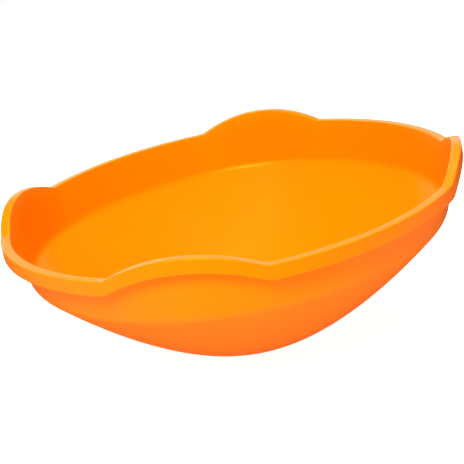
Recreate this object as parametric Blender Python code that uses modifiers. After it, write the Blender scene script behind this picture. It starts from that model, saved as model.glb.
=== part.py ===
"""Child's rocking and spinning bowl: one moulded shell with four raised hand-holds on its rim.

The shell is drawn as one skin, turned round the vertical axis: the skirt's outside, the flat top
of the rim, the bowl's steep inner wall and its floor. The skin is given its wall thickness on the
side that faces away, so the rim's skirt stays open below. The frame's origin is the middle of the
small flat land that the bowl stands on, with +Z up.
"""
import math

import bmesh
import bpy

# Driving dimensions, in metres and degrees.
RIM_RADIUS = 0.300          # outside radius of the rim at its top
RIM_HEIGHT = 0.216          # the rim's flat top above the surface that the bowl stands on
SHELL_THICKNESS = 0.0036    # moulded wall, the same everywhere

LIP_WIDTH = 0.012           # flat top of the rim, from the bowl's inner edge to its outer edge
LIP_CHAMFER = 0.0012        # broken edge on both sides of the lip
SKIRT_HEIGHT = 0.017        # the skirt that the lip turns down into
SKIRT_LEAN = 0.0006         # how far the skirt's lower edge stands out past its top

WALL_LENGTH = 0.055         # straight stretch of the steep inner wall below the lip
WALL_DRAFT = 15.3           # lean of that stretch from the vertical
SHOULDER_RADIUS = 0.0204    # bend from the wall into the belly, on the inside
BELLY_ANGLE = 46.0          # slope of the belly where it leaves the shoulder
BELLY_SHOULDER_REACH = 0.096   # how long the belly keeps the shoulder's direction
BELLY_LAND_REACH = 0.074       # how long it runs level before it meets the land
LAND_RADIUS = 0.025         # flat land at the middle of the bottom

HOLD_COUNT = 4              # raised hand-holds round the rim
HOLD_HALF_WIDTH = 18.0      # from the middle of a hand-hold to its end, round the rim
HOLD_HEIGHT = 0.0229        # rise at the middle of a hand-hold
HOLD_POWER = 2.08           # shape of its arch: 2 is a parabola

STEPS_ROUND = 80            # facets round the bowl
WALL_STEPS = 3
SHOULDER_STEPS = 2
BELLY_STEPS = 9

MERGE_DISTANCE = 0.00001
SHARP_EDGE = 35.0           # degrees between faces above which an edge is shaded sharp


def clear_scene():
    for item in list(bpy.data.objects):
        bpy.data.objects.remove(item, do_unlink=True)


def moulded_plastic():
    material = bpy.data.materials.new("orange_plastic")
    material.use_nodes = True
    shader = material.node_tree.nodes["Principled BSDF"]
    shader.inputs["Base Color"].default_value = (0.95, 0.24, 0.003, 1.0)
    shader.inputs["Roughness"].default_value = 0.38
    shader.inputs["Metallic"].default_value = 0.0
    return material


def belly_curve(start, end, steps):
    """Points of a cubic curve from the shoulder, at the belly's slope, to the level land."""
    slope = math.radians(BELLY_ANGLE)
    leave = (start[0] - BELLY_SHOULDER_REACH * math.cos(slope),
             start[1] - BELLY_SHOULDER_REACH * math.sin(slope))
    arrive = (end[0] + BELLY_LAND_REACH, end[1])
    points = []
    for step in range(1, steps + 1):
        t = step / steps
        weights = ((1 - t) ** 3, 3 * t * (1 - t) ** 2, 3 * t * t * (1 - t), t ** 3)
        knots = (start, leave, arrive, end)
        points.append(tuple(sum(w * knot[axis] for w, knot in zip(weights, knots))
                            for axis in (0, 1)))
    return points


def skin_profile():
    """Distance out and height of the skin, from the skirt's lower edge in to the centre."""
    inner_radius = RIM_RADIUS - LIP_WIDTH
    points = [
        (RIM_RADIUS + SKIRT_LEAN, RIM_HEIGHT - SKIRT_HEIGHT),
        (RIM_RADIUS, RIM_HEIGHT - LIP_CHAMFER),
        (RIM_RADIUS - LIP_CHAMFER, RIM_HEIGHT),
        (inner_radius + LIP_CHAMFER, RIM_HEIGHT),
        (inner_radius, RIM_HEIGHT - LIP_CHAMFER),
    ]
    draft = math.radians(WALL_DRAFT)
    for step in range(1, WALL_STEPS + 1):
        down = WALL_LENGTH * step / WALL_STEPS
        points.append((inner_radius - down * math.sin(draft), RIM_HEIGHT - down * math.cos(draft)))
    wall_foot = points[-1]

    # The shoulder is an arc that turns the wall's slope into the belly's.
    steep = math.radians(90.0 - WALL_DRAFT)
    shallow = math.radians(BELLY_ANGLE)
    for step in range(1, SHOULDER_STEPS + 1):
        slope = steep + (shallow - steep) * step / SHOULDER_STEPS
        points.append((wall_foot[0] - SHOULDER_RADIUS * (math.sin(steep) - math.sin(slope)),
                       wall_foot[1] - SHOULDER_RADIUS * (math.cos(slope) - math.cos(steep))))

    land_edge = (LAND_RADIUS, SHELL_THICKNESS)
    points += belly_curve(points[-1], land_edge, BELLY_STEPS)
    points.append((0.0, SHELL_THICKNESS))
    return points


def hold_rise(angle):
    """Height that the hand-holds add to the rim at an angle round the bowl, in degrees."""
    spacing = 360.0 / HOLD_COUNT
    from_middle = abs((angle + spacing / 2) % spacing - spacing / 2)
    if from_middle >= HOLD_HALF_WIDTH:
        return 0.0
    share = math.sin(math.radians(from_middle)) / math.sin(math.radians(HOLD_HALF_WIDTH))
    return HOLD_HEIGHT * (1.0 - share ** HOLD_POWER)


def hold_share(out, height):
    """How much of that rise a point takes: all of it in the rim, none at the foot of the wall.

    In between it grows evenly, so the wall stays straight from its foot up to a raised lip.
    """
    if out > RIM_RADIUS - LIP_WIDTH - MERGE_DISTANCE:
        return 1.0
    foot = RIM_HEIGHT - WALL_LENGTH * math.cos(math.radians(WALL_DRAFT))
    lip = RIM_HEIGHT - SHELL_THICKNESS
    return min(max((height - foot) / (lip - foot), 0.0), 1.0)


def raise_hand_holds(mesh):
    for vertex in mesh.verts:
        out = math.hypot(vertex.co.x, vertex.co.y)
        angle = math.degrees(math.atan2(vertex.co.y, vertex.co.x))
        vertex.co.z += hold_rise(angle) * hold_share(out, vertex.co.z)


def bowl_shell(collection):
    mesh = bmesh.new()
    ring = [mesh.verts.new((radius, 0.0, height)) for radius, height in skin_profile()]
    edges = [mesh.edges.new(pair) for pair in zip(ring, ring[1:])]
    bmesh.ops.spin(mesh, geom=ring + edges, cent=(0.0, 0.0, 0.0), axis=(0.0, 0.0, 1.0),
                   angle=math.tau, steps=STEPS_ROUND, use_merge=True)
    bmesh.ops.remove_doubles(mesh, verts=mesh.verts, dist=MERGE_DISTANCE)
    bmesh.ops.recalc_face_normals(mesh, faces=mesh.faces)
    floor = min(mesh.faces, key=lambda face: face.calc_center_median().z)
    if floor.normal.z < 0.0:
        bmesh.ops.reverse_faces(mesh, faces=mesh.faces)
    raise_hand_holds(mesh)

    data = bpy.data.meshes.new("bowl_shell")
    mesh.to_mesh(data)
    mesh.free()
    data.shade_smooth()
    data.set_sharp_from_angle(angle=math.radians(SHARP_EDGE))
    data.materials.append(moulded_plastic())

    shell = bpy.data.objects.new("bowl_shell", data)
    collection.objects.link(shell)
    wall = shell.modifiers.new("wall", "SOLIDIFY")
    wall.thickness = SHELL_THICKNESS
    wall.offset = -1.0
    wall.use_even_offset = True
    return shell


def main():
    clear_scene()
    collection = bpy.data.collections.new("rocking_bowl")
    bpy.context.scene.collection.children.link(collection)
    bowl_shell(collection)


main()
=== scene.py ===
"""Child's rocking and spinning bowl in moulded orange plastic, on a white light table."""
import math

import bmesh
import bpy
from mathutils import Matrix, Vector


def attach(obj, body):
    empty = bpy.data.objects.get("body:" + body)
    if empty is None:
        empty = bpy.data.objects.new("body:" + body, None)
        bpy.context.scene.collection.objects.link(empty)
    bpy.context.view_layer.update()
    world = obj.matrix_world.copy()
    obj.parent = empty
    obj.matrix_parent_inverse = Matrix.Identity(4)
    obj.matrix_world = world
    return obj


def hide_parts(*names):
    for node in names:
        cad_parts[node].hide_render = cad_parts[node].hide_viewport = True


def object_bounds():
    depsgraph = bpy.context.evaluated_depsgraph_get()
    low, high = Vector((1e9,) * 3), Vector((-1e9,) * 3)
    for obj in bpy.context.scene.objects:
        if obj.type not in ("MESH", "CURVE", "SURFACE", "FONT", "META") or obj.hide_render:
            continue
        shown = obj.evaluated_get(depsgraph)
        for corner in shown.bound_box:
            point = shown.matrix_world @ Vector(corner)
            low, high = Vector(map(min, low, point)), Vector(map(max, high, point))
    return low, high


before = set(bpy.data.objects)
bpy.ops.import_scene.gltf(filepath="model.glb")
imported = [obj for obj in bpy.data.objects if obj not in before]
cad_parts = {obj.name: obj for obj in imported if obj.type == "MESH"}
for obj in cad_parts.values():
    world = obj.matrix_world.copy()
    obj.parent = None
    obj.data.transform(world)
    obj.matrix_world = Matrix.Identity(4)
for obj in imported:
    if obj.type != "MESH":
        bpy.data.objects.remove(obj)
cad_low, cad_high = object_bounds()

# ---------------------------------------------------------------- the bowl's sizes, in metres
HOLD_HEIGHT = 0.0229            # rise of a hand-hold above the flat rim
SKIRT_LEAN = 0.0006             # how far the skirt's lower edge stands out past the rim's top
RIM_HEIGHT = cad_high.z - HOLD_HEIGHT
RIM_RADIUS = cad_high.x - SKIRT_LEAN
WALL = 0.0036                   # moulded thickness
LIP_WIDTH = 0.012               # flat top of the rim
SKIRT_HEIGHT = 0.017
OUTER_FILLET = 0.0014           # lip into skirt
INNER_FILLET = 0.0018           # lip into the bowl's wall
SKIRT_FILLET = 0.0008           # the two edges of the skirt's foot
ROOF_FILLET = 0.0010            # inside corners of the channel under the lip
WALL_LENGTH = 0.055             # straight stretch of wall below the lip
WALL_DRAFT = math.radians(15.3)
SHOULDER_RADIUS = 0.0204        # wall into belly, on the inside
BELLY_SLOPE = math.radians(46.0)
BELLY_SHOULDER_REACH = 0.096
BELLY_LAND_REACH = 0.074
LAND_RADIUS = 0.025             # flat spot that the bowl stands on

HOLD_COUNT = 4
HOLD_HALF_WIDTH = 18.0          # degrees, middle of a hand-hold to its end
HOLD_POWER = 2.08               # shape of the arch: 2 is a parabola
KINK_REACH = 3.0                # degrees on each side of a kink in which facets crowd together
KINK_CROWDING = 1.7
KINK_SOFTNESS = 0.22            # degrees over which a kink is rounded
KINK_CLEARANCE = 20             # this many roundings up an arch, the kink no longer changes it

STEPS_ROUND = 360
MERGE_DISTANCE = 0.000005

# ---------------------------------------------------------------- the plastic's surface
GRAIN_SCALE = 1300.0            # mould grain, under a millimetre across
GRAIN_DEPTH = 0.000016
PEEL_SCALE = 55.0               # slow waves of a moulded skin, about 2 cm across
PEEL_DEPTH = 0.00006
CLOUD_SCALE = 7.0               # patches of lighter and darker pigment
STREAKS = 22.0                  # flow streaks round the bowl
STREAK_STRETCH = 6.0            # how fast a streak changes along the radius
PIGMENT_DARK = (0.96, 0.152, 0.0, 1.0)
PIGMENT_LIGHT = (0.96, 0.168, 0.0, 1.0)

SCUFF_RINGS = 420.0             # how closely the rubbed rings follow each other
SCUFF_WANDER = 1.5              # how much a ring changes on its way round
SCUFF_HEIGHT = 0.020            # underside height at which the rubbing ends
SCUFF_CURVE = 1.35              # underside height is about this times the distance out, squared
SCUFF_NEAR = 0.0014             # height above that curve at which the rubbing starts to fade
SCUFF_FAR = 0.0030              # and at which it is gone
SCUFF_FAINT = 0.52              # noise level at which a ring begins to show
SCUFF_STRONG = 0.66             # and at which it shows in full
SCUFF_COLOUR = (0.98, 0.42, 0.12, 1.0)
SCUFF_PALING = 0.35

ROUGHNESS = 0.26
GRAIN_ROUGHNESS = 0.05
STREAK_ROUGHNESS = 0.05
SCUFF_ROUGHNESS = 0.22
GLOSS_TINT = (1.0, 0.5, 0.02, 1.0)
GLOSS_LEVEL = 0.35
SMALLEST_RADIUS = 0.0001        # keeps the middle of the bowl out of a division by nothing


# ---------------------------------------------------------------- shape of the shell
def arc(middle, radius, start, end, steps):
    """Points along an arc in the plane of distance out and height; angles in degrees."""
    points = []
    for step in range(steps + 1):
        angle = math.radians(start + (end - start) * step / steps)
        points.append((middle[0] + radius * math.cos(angle), middle[1] + radius * math.sin(angle)))
    return points


def run(start, end, steps):
    """Points that divide a straight stretch, without its ends."""
    return [tuple(a + (b - a) * step / steps for a, b in zip(start, end))
            for step in range(1, steps)]


def bowl_side(offset, steps_shoulder=9, steps_belly=30):
    """The wall's foot, shoulder and belly, down to the land, moved off the inner face by a distance.

    Each point is worked out on the inner face with its slope, and then moved square to that slope.
    """
    top = (RIM_RADIUS - LIP_WIDTH, RIM_HEIGHT)
    steep = math.pi / 2 - WALL_DRAFT
    foot = (top[0] - WALL_LENGTH * math.sin(WALL_DRAFT),
            top[1] - WALL_LENGTH * math.cos(WALL_DRAFT))
    places = [(foot, steep)]
    for step in range(1, steps_shoulder + 1):
        slope = steep + (BELLY_SLOPE - steep) * step / steps_shoulder
        place = (foot[0] - SHOULDER_RADIUS * (math.sin(steep) - math.sin(slope)),
                 foot[1] - SHOULDER_RADIUS * (math.cos(slope) - math.cos(steep)))
        places.append((place, slope))
    start = places[-1][0]
    end = (LAND_RADIUS, WALL)
    leave = (start[0] - BELLY_SHOULDER_REACH * math.cos(BELLY_SLOPE),
             start[1] - BELLY_SHOULDER_REACH * math.sin(BELLY_SLOPE))
    arrive = (end[0] + BELLY_LAND_REACH, end[1])
    for step in range(1, steps_belly + 1):
        t = step / steps_belly
        knots = (start, leave, arrive, end)
        weights = ((1 - t) ** 3, 3 * t * (1 - t) ** 2, 3 * t * t * (1 - t), t ** 3)
        place = tuple(sum(w * knot[axis] for w, knot in zip(weights, knots)) for axis in (0, 1))
        pulls = (3 * (1 - t) ** 2, 6 * t * (1 - t), 3 * t * t)
        spans = [tuple(b - a for a, b in zip(*pair)) for pair in zip(knots, knots[1:])]
        pull = [sum(w * span[axis] for w, span in zip(pulls, spans)) for axis in (0, 1)]
        places.append((place, math.atan2(-pull[1], -pull[0])))
    return [(place[0] + offset * math.sin(slope), place[1] - offset * math.cos(slope))
            for place, slope in places]


def shell_outline():
    """The closed section of the shell, from the floor's centre over the lip to the underside's."""
    inner = bowl_side(0.0)
    outer = bowl_side(WALL)
    inner_edge = RIM_RADIUS - LIP_WIDTH
    land_middle = LAND_RADIUS * 0.5
    points = [(0.0, WALL), (land_middle, WALL)]
    points += reversed(inner)

    # The fillet that turns the lip into the wall meets both of them square on.
    draft = math.degrees(WALL_DRAFT)
    setback = INNER_FILLET * math.tan((math.pi / 2 - WALL_DRAFT) / 2)
    points += run(inner[0], (inner_edge, RIM_HEIGHT), steps=8)[:-1]
    middle = (inner_edge + setback, RIM_HEIGHT - INNER_FILLET)
    points += arc(middle, INNER_FILLET, 180 - draft, 90, steps=6)
    lip_start = points[-1]
    lip_end = (RIM_RADIUS - OUTER_FILLET, RIM_HEIGHT)
    points += run(lip_start, lip_end, steps=3)
    points += arc((lip_end[0], RIM_HEIGHT - OUTER_FILLET), OUTER_FILLET, 90, 0, steps=5)

    foot_height = RIM_HEIGHT - SKIRT_HEIGHT + SKIRT_FILLET
    outside = RIM_RADIUS + SKIRT_LEAN
    points += run(points[-1], (outside, foot_height), steps=4)
    points += arc((outside - SKIRT_FILLET, foot_height), SKIRT_FILLET, 0, -90, steps=3)
    points += arc((outside - WALL + SKIRT_FILLET, foot_height), SKIRT_FILLET, -90, -180, steps=3)

    roof = RIM_HEIGHT - WALL
    wall_face = inner_edge + WALL / math.cos(WALL_DRAFT) - WALL * math.tan(WALL_DRAFT)
    corner = (RIM_RADIUS - WALL - ROOF_FILLET, roof - ROOF_FILLET)
    points += run(points[-1], (corner[0] + ROOF_FILLET, corner[1]), steps=3)
    points += arc(corner, ROOF_FILLET, 0, 90, steps=3)
    corner = (wall_face + ROOF_FILLET, roof - ROOF_FILLET)
    points += arc(corner, ROOF_FILLET, 90, 180, steps=3)
    points += run(points[-1], outer[0], steps=8)
    points += outer
    points += [(land_middle, 0.0), (0.0, 0.0)]
    return points


def from_hold_middle(angle):
    """Signed angle, in degrees, from the middle of the nearest hand-hold."""
    spacing = 360.0 / HOLD_COUNT
    return (angle + spacing / 2) % spacing - spacing / 2


def crowd_to_kinks(angle):
    """Moves an angle nearer to a hand-hold's end, so that the kink there stays crisp."""
    away = from_hold_middle(angle)
    past_kink = abs(away) - HOLD_HALF_WIDTH
    if abs(past_kink) >= KINK_REACH:
        return angle
    moved = KINK_REACH * (abs(past_kink) / KINK_REACH) ** KINK_CROWDING
    crowded = math.copysign(moved, past_kink)
    return angle + math.copysign(crowded - past_kink, away)


def hold_rise(angle):
    """Height of the rim above its flat stretches, at an angle in degrees."""
    away = abs(from_hold_middle(angle))
    share = math.sin(math.radians(away)) / math.sin(math.radians(HOLD_HALF_WIDTH))
    arch = HOLD_HEIGHT * (1.0 - share ** HOLD_POWER)
    softness = HOLD_HEIGHT * HOLD_POWER * KINK_SOFTNESS / HOLD_HALF_WIDTH
    if arch >= KINK_CLEARANCE * softness:
        return arch
    return softness * math.log1p(math.exp(arch / softness))


def hold_share(out, height):
    """Part of the rise that a point takes: all of it in the rim, none at the wall's foot."""
    if out > RIM_RADIUS - LIP_WIDTH + WALL + ROOF_FILLET / 2:
        return 1.0
    foot = RIM_HEIGHT - WALL_LENGTH * math.cos(WALL_DRAFT)
    return min(max((height - foot) / (RIM_HEIGHT - WALL - foot), 0.0), 1.0)


def bowl_shell():
    """The whole bowl, turned from its section and raised at the hand-holds."""
    outline = shell_outline()
    mesh = bmesh.new()
    chain = [mesh.verts.new((radius, 0.0, height)) for radius, height in outline]
    edges = [mesh.edges.new(pair) for pair in zip(chain, chain[1:])]
    bmesh.ops.spin(mesh, geom=chain + edges, cent=(0, 0, 0), axis=(0, 0, 1), angle=math.tau,
                   steps=STEPS_ROUND, use_merge=True)
    bmesh.ops.remove_doubles(mesh, verts=mesh.verts, dist=MERGE_DISTANCE)
    bmesh.ops.recalc_face_normals(mesh, faces=mesh.faces)

    for vertex in mesh.verts:
        out = math.hypot(vertex.co.x, vertex.co.y)
        angle = crowd_to_kinks(math.degrees(math.atan2(vertex.co.y, vertex.co.x)))
        rise = hold_rise(angle) * hold_share(out, vertex.co.z)
        turn = math.radians(angle)
        vertex.co = (out * math.cos(turn), out * math.sin(turn), vertex.co.z + rise)

    data = bpy.data.meshes.new("moulded_bowl")
    mesh.to_mesh(data)
    mesh.free()
    data.shade_smooth()
    shell = bpy.data.objects.new("moulded_bowl", data)
    bpy.context.scene.collection.objects.link(shell)
    return shell


# ---------------------------------------------------------------- shader arithmetic
class Value:
    """A number socket that can be used in Python sums; each operator adds a Math node."""

    def __init__(self, tree, socket):
        self.tree = tree
        self.socket = socket

    def maths(self, operation, other, other_first=False):
        node = self.tree.nodes.new("ShaderNodeMath")
        node.operation = operation
        pair = (other, self) if other_first else (self, other)
        for slot, item in zip(node.inputs, pair):
            if isinstance(item, Value):
                self.tree.links.new(item.socket, slot)
            else:
                slot.default_value = item
        return Value(self.tree, node.outputs[0])

    def __add__(self, other):
        return self.maths("ADD", other)

    def __sub__(self, other):
        return self.maths("SUBTRACT", other)

    def __rsub__(self, other):
        return self.maths("SUBTRACT", other, other_first=True)

    def __mul__(self, other):
        return self.maths("MULTIPLY", other)

    def __truediv__(self, other):
        return self.maths("DIVIDE", other)

    def __pow__(self, other):
        return self.maths("POWER", other)

    __radd__ = __add__
    __rmul__ = __mul__


class Finish:
    """A material under construction."""

    def __init__(self, name):
        self.material = bpy.data.materials.new(name)
        self.material.use_nodes = True
        self.tree = self.material.node_tree
        self.shader = self.tree.nodes["Principled BSDF"]

    def node(self, kind, output=0, settings=None, **sockets):
        """Adds one node: settings first, then its sockets' values or links; returns an output."""
        node = self.tree.nodes.new(kind)
        for name, setting in (settings or {}).items():
            setattr(node, name, setting)
        for name, item in sockets.items():
            self.put(node.inputs[self.socket_index(node, name)], item)
        return Value(self.tree, node.outputs[output])

    @staticmethod
    def socket_index(node, name):
        wanted = name.replace("_", " ").lower()
        return next(index for index, socket in enumerate(node.inputs)
                    if socket.enabled and socket.name.lower() == wanted)

    def mix(self, factor, first, second):
        """Blends two colours."""
        return self.node("ShaderNodeMix", output=2, settings={"data_type": "RGBA"},
                         Factor=factor, A=first, B=second)

    def put(self, slot, item):
        if isinstance(item, Value):
            self.tree.links.new(item.socket, slot)
        else:
            slot.default_value = item

    def set(self, **sockets):
        for name, item in sockets.items():
            self.put(self.shader.inputs[self.socket_index(self.shader, name)], item)


def orange_plastic():
    """Semi-gloss moulded plastic with a fine grain, flow streaks, clouded pigment and rubbing."""
    finish = Finish("orange_plastic")
    place = finish.node("ShaderNodeTexCoord", output="Object")
    x, y, z = (finish.node("ShaderNodeSeparateXYZ", output=axis, Vector=place)
               for axis in range(3))
    out = (x * x + y * y) ** 0.5 + SMALLEST_RADIUS

    grain = finish.node("ShaderNodeTexNoise", Vector=place, Scale=GRAIN_SCALE, Detail=2.0)
    peel = finish.node("ShaderNodeTexNoise", Vector=place, Scale=PEEL_SCALE, Detail=1.0)
    cloud = finish.node("ShaderNodeTexNoise", Vector=place, Scale=CLOUD_SCALE, Detail=3.0)

    # Plastic flows out from the middle of the mould, so its streaks run along the radius.
    spoke = finish.node("ShaderNodeCombineXYZ", X=x / out * STREAKS, Y=y / out * STREAKS,
                        Z=out * STREAK_STRETCH)
    streak = finish.node("ShaderNodeTexNoise", Vector=spoke, Scale=1.0, Detail=2.0)

    # Spinning rubs faint rings into the underside round the spot that it stands on. Height alone
    # tells the underside from the inside, and near the flat spot it lets a faint ring through.
    ring = finish.node("ShaderNodeCombineXYZ", X=x / out * SCUFF_WANDER,
                       Y=y / out * SCUFF_WANDER, Z=out * SCUFF_RINGS)
    rubbed = finish.node("ShaderNodeTexNoise", Vector=ring, Scale=1.0, Detail=4.0)
    low = finish.node("ShaderNodeMapRange", Value=z, From_Min=0.0, From_Max=SCUFF_HEIGHT,
                      To_Min=1.0, To_Max=0.0)
    underside = finish.node("ShaderNodeMapRange", Value=z - out * out * SCUFF_CURVE,
                            From_Min=SCUFF_NEAR, From_Max=SCUFF_FAR, To_Min=1.0, To_Max=0.0)
    lines = finish.node("ShaderNodeMapRange", Value=rubbed, From_Min=SCUFF_FAINT,
                        From_Max=SCUFF_STRONG, To_Min=0.0, To_Max=1.0)
    scuff = low * underside * lines

    pigment = finish.mix(cloud, PIGMENT_DARK, PIGMENT_LIGHT)
    colour = finish.mix(scuff * SCUFF_PALING, pigment, SCUFF_COLOUR)
    relief = grain * GRAIN_DEPTH + peel * PEEL_DEPTH
    bump = finish.node("ShaderNodeBump", Strength=1.0, Distance=1.0, Height=relief)
    roughness = (ROUGHNESS + GRAIN_ROUGHNESS * grain + STREAK_ROUGHNESS * streak
                 + SCUFF_ROUGHNESS * scuff)
    finish.set(Base_Color=colour, Roughness=roughness, Normal=bump,
               Specular_Tint=GLOSS_TINT, Specular_IOR_Level=GLOSS_LEVEL)
    return finish.material


def white_table():
    """A lit white table; it is clear from below, so that the bowl's underside can be seen."""
    finish = Finish("white_table")
    finish.set(Base_Color=(0.5, 0.5, 0.5, 1.0), Roughness=0.6, Emission_Color=(1, 1, 1, 1),
               Emission_Strength=TABLE_GLOW, Specular_IOR_Level=0.0)
    under = finish.node("ShaderNodeNewGeometry", output="Backfacing")
    clear = finish.node("ShaderNodeBsdfTransparent")
    surface = finish.node("ShaderNodeMixShader", Fac=under)
    mixed = surface.socket.node
    finish.tree.links.new(finish.shader.outputs["BSDF"], mixed.inputs[1])
    finish.tree.links.new(clear.socket, mixed.inputs[2])
    finish.tree.links.new(surface.socket, finish.tree.nodes["Material Output"].inputs["Surface"])
    return finish.material


# ---------------------------------------------------------------- studio
TABLE_SIZE = 12.0
TABLE_GAP = 0.0004              # keeps the bowl's flat spot out of the table's face
TABLE_GLOW = 0.95
ROOM_LIGHT = 0.035              # the room's strength as a light; to the camera it is 1


def table():
    """The light table; the bowl's gloss doesn't mirror it."""
    mesh = bmesh.new()
    bmesh.ops.create_grid(mesh, x_segments=1, y_segments=1, size=TABLE_SIZE,
                          matrix=Matrix.Translation((0, 0, -TABLE_GAP)))
    data = bpy.data.meshes.new("light_table")
    mesh.to_mesh(data)
    mesh.free()
    data.materials.append(white_table())
    floor = bpy.data.objects.new("light_table", data)
    floor.visible_glossy = False
    bpy.context.scene.collection.objects.link(floor)


def softbox(name, place, width, height, power, mirrored=True):
    """A rectangular light panel turned towards the bowl; fill lights aren't mirrored in it."""
    light = bpy.data.lights.new(name, "AREA")
    light.shape = "RECTANGLE"
    light.size = width
    light.size_y = height
    light.energy = power
    lamp = bpy.data.objects.new(name, light)
    lamp.visible_camera = False
    lamp.visible_glossy = mirrored
    lamp.location = place
    towards_bowl = Vector((0, 0, RIM_HEIGHT / 2)) - Vector(place)
    lamp.rotation_euler = towards_bowl.to_track_quat("-Z", "Y").to_euler()
    bpy.context.scene.collection.objects.link(lamp)


def white_room():
    """White to look at, but dim as a light, so that the softboxes shape the bowl."""
    world = bpy.data.worlds.new("white_room")
    world.use_nodes = True
    nodes = world.node_tree.nodes
    path = nodes.new("ShaderNodeLightPath")
    level = nodes.new("ShaderNodeMapRange")
    level.inputs["To Min"].default_value = ROOM_LIGHT
    level.inputs["To Max"].default_value = 1.0
    background = nodes["Background"]
    background.inputs["Color"].default_value = (1.0, 1.0, 1.0, 1.0)
    world.node_tree.links.new(path.outputs["Is Camera Ray"], level.inputs["Value"])
    world.node_tree.links.new(level.outputs["Result"], background.inputs["Strength"])
    bpy.context.scene.world = world


def camera():
    """A long lens above the rim, turned to the right of the near hand-hold and rolled."""
    turn = math.radians(13.52)
    rise = math.radians(19.78)
    roll = math.radians(-10.77)
    distance = 3.852 * RIM_RADIUS
    target = Vector((0.1554, -0.7464, 0.064)) * RIM_RADIUS + Vector((0, 0, RIM_HEIGHT))
    back = Vector((math.sin(turn) * math.cos(rise),
                   -math.cos(turn) * math.cos(rise),
                   math.sin(rise)))
    right = (-back).cross(Vector((0, 0, 1))).normalized()
    up = right.cross(-back)
    rolled_right = right * math.cos(roll) + up * math.sin(roll)
    rolled_up = up * math.cos(roll) - right * math.sin(roll)
    lens = bpy.data.cameras.new("camera")
    lens.lens = 82.0
    lens.sensor_width = 36.0
    view = bpy.data.objects.new("camera", lens)
    spot = target + back * distance
    view.matrix_world = Matrix((
        (rolled_right.x, rolled_up.x, back.x, spot.x),
        (rolled_right.y, rolled_up.y, back.y, spot.y),
        (rolled_right.z, rolled_up.z, back.z, spot.z),
        (0, 0, 0, 1)))
    bpy.context.scene.collection.objects.link(view)
    bpy.context.scene.camera = view


camera()
white_room()
table()
softbox("overhead", (0.0, 0.0, 2.2), 1.2, 1.2, 44.0, mirrored=False)
softbox("front", (-0.1, -1.8, 1.9), 0.8, 0.8, 84.0)
softbox("back", (0.0, 1.5, 2.2), 1.2, 1.2, 40.0, mirrored=False)
softbox("back_panel", (-0.9, 2.4, 0.7), 4.0, 0.9, 16.0)
softbox("low_left", (-1.7, -1.3, 0.15), 1.2, 0.26, 4.0)

shell = bowl_shell()
shell.data.materials.append(orange_plastic())
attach(shell, "root")
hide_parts("bowl_shell")

bpy.context.scene.view_settings.view_transform = "Standard"
